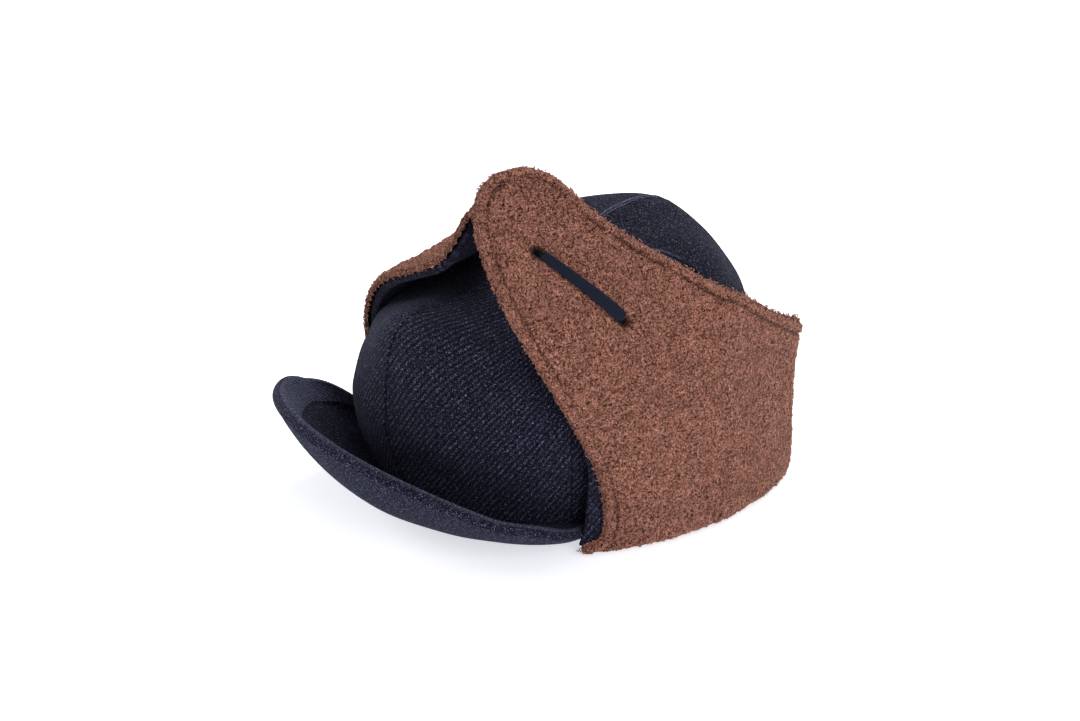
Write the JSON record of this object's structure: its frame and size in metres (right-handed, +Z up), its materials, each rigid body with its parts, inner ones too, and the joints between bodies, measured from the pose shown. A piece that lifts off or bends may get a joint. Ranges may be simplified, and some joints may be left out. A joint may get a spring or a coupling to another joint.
{
  "type": "trapper hat",
  "caption": "Wool trapper hat with a gored crown, a turned-up visor and a fleece ear band that is folded up and turns down, with ear tongues and elastic loops.",
  "frame": {"origin": "middle of the hat's box on the surface that it stands on", "axes": "-Y is the wearer's front, +X the wearer's left, +Z up; the hat stands on the fold of its ear band"},
  "size_m": [0.1898, 0.2493, 0.1743],
  "materials": {
    "navy_wool": "dark navy melange wool twill, matt",
    "brown_fleece": "reddish brown looped boucle fleece, matt",
    "lining_cloth": "dark woven lining with a slight sheen",
    "sweatband_cloth": "dark grosgrain",
    "visor_board": "flexible stiffener board, hidden",
    "button_steel": "plain steel, hidden",
    "elastic_cloth": "dark blue ribbed elastic",
    "tack_thread": "dark sewing thread"
  },
  "bodies": {
    "crown": {"crown_panel_left_front": "navy_wool", "crown_panel_left_side": "navy_wool", "crown_panel_left_back": "navy_wool", "crown_panel_right_front": "navy_wool", "crown_panel_right_side": "navy_wool", "crown_panel_right_back": "navy_wool", "crown_lining": "lining_cloth", "sweatband": "sweatband_cloth", "top_button": "navy_wool", "top_button_back": "button_steel", "visor_top_cover": "navy_wool", "visor_board": "visor_board", "visor_under_cover": "navy_wool"},
    "left_ear": {"left_ear_wool": "navy_wool", "left_ear_fleece": "brown_fleece"},
    "left_tongue": {"left_tongue_wool": "navy_wool", "left_tongue_fleece": "brown_fleece", "left_elastic": "elastic_cloth", "left_elastic_tack_top": "tack_thread", "left_elastic_tack_bottom": "tack_thread"},
    "left_corner": {"left_corner_wool": "navy_wool", "left_corner_fleece": "brown_fleece"},
    "left_back": {"left_back_wool": "navy_wool", "left_back_fleece": "brown_fleece"},
    "right_ear": {"right_ear_wool": "navy_wool", "right_ear_fleece": "brown_fleece"},
    "right_tongue": {"right_tongue_wool": "navy_wool", "right_tongue_fleece": "brown_fleece", "right_elastic": "elastic_cloth", "right_elastic_tack_top": "tack_thread", "right_elastic_tack_bottom": "tack_thread"},
    "right_corner": {"right_corner_wool": "navy_wool", "right_corner_fleece": "brown_fleece"},
    "right_back": {"right_back_wool": "navy_wool", "right_back_fleece": "brown_fleece"}
  },
  "joints": [
    {"name": "left_ear_fold", "type": "hinge", "parent": "crown", "child": "left_ear", "pos_m": [0.08256, 0.01176, 0.0043], "axis": [0.0086, 1, 0], "range_deg": [0, 180]},
    {"name": "left_corner_fold", "type": "hinge", "parent": "crown", "child": "left_corner", "pos_m": [0.06554, 0.0805, 0.0043], "axis": [-0.5913, 0.8064, 0], "range_deg": [0, 180]},
    {"name": "left_back_fold", "type": "hinge", "parent": "crown", "child": "left_back", "pos_m": [0.02407, 0.11242, 0.0043], "axis": [-0.9467, 0.3222, 0], "range_deg": [0, 180]},
    {"name": "left_tongue_bend", "type": "hinge", "parent": "left_ear", "child": "left_tongue", "pos_m": [0.08572, 0.00578, 0.0874], "axis": [0.0728, 0.9484, 0.3087], "range_deg": [0, 28]},
    {"name": "right_ear_fold", "type": "hinge", "parent": "crown", "child": "right_ear", "pos_m": [-0.08256, 0.01176, 0.0043], "axis": [0.0086, -1, 0], "range_deg": [0, 180]},
    {"name": "right_corner_fold", "type": "hinge", "parent": "crown", "child": "right_corner", "pos_m": [-0.06554, 0.0805, 0.0043], "axis": [-0.5913, -0.8064, 0], "range_deg": [0, 180]},
    {"name": "right_back_fold", "type": "hinge", "parent": "crown", "child": "right_back", "pos_m": [-0.02407, 0.11242, 0.0043], "axis": [-0.9467, -0.3222, 0], "range_deg": [0, 180]},
    {"name": "right_tongue_bend", "type": "hinge", "parent": "right_ear", "child": "right_tongue", "pos_m": [-0.07997, 0.00583, 0.08695], "axis": [0.1074, -0.943, -0.3149], "range_deg": [0, 50]}
  ],
  "couplings": [
    {"joint": "left_corner_fold", "follows": "left_ear_fold", "ratio": 1},
    {"joint": "left_back_fold", "follows": "left_ear_fold", "ratio": 1},
    {"joint": "left_tongue_bend", "follows": "left_ear_fold", "ratio": 0.1555},
    {"joint": "right_ear_fold", "follows": "left_ear_fold", "ratio": 1},
    {"joint": "right_corner_fold", "follows": "left_ear_fold", "ratio": 1},
    {"joint": "right_back_fold", "follows": "left_ear_fold", "ratio": 1},
    {"joint": "right_tongue_bend", "follows": "left_ear_fold", "ratio": 0.2777}
  ]
}
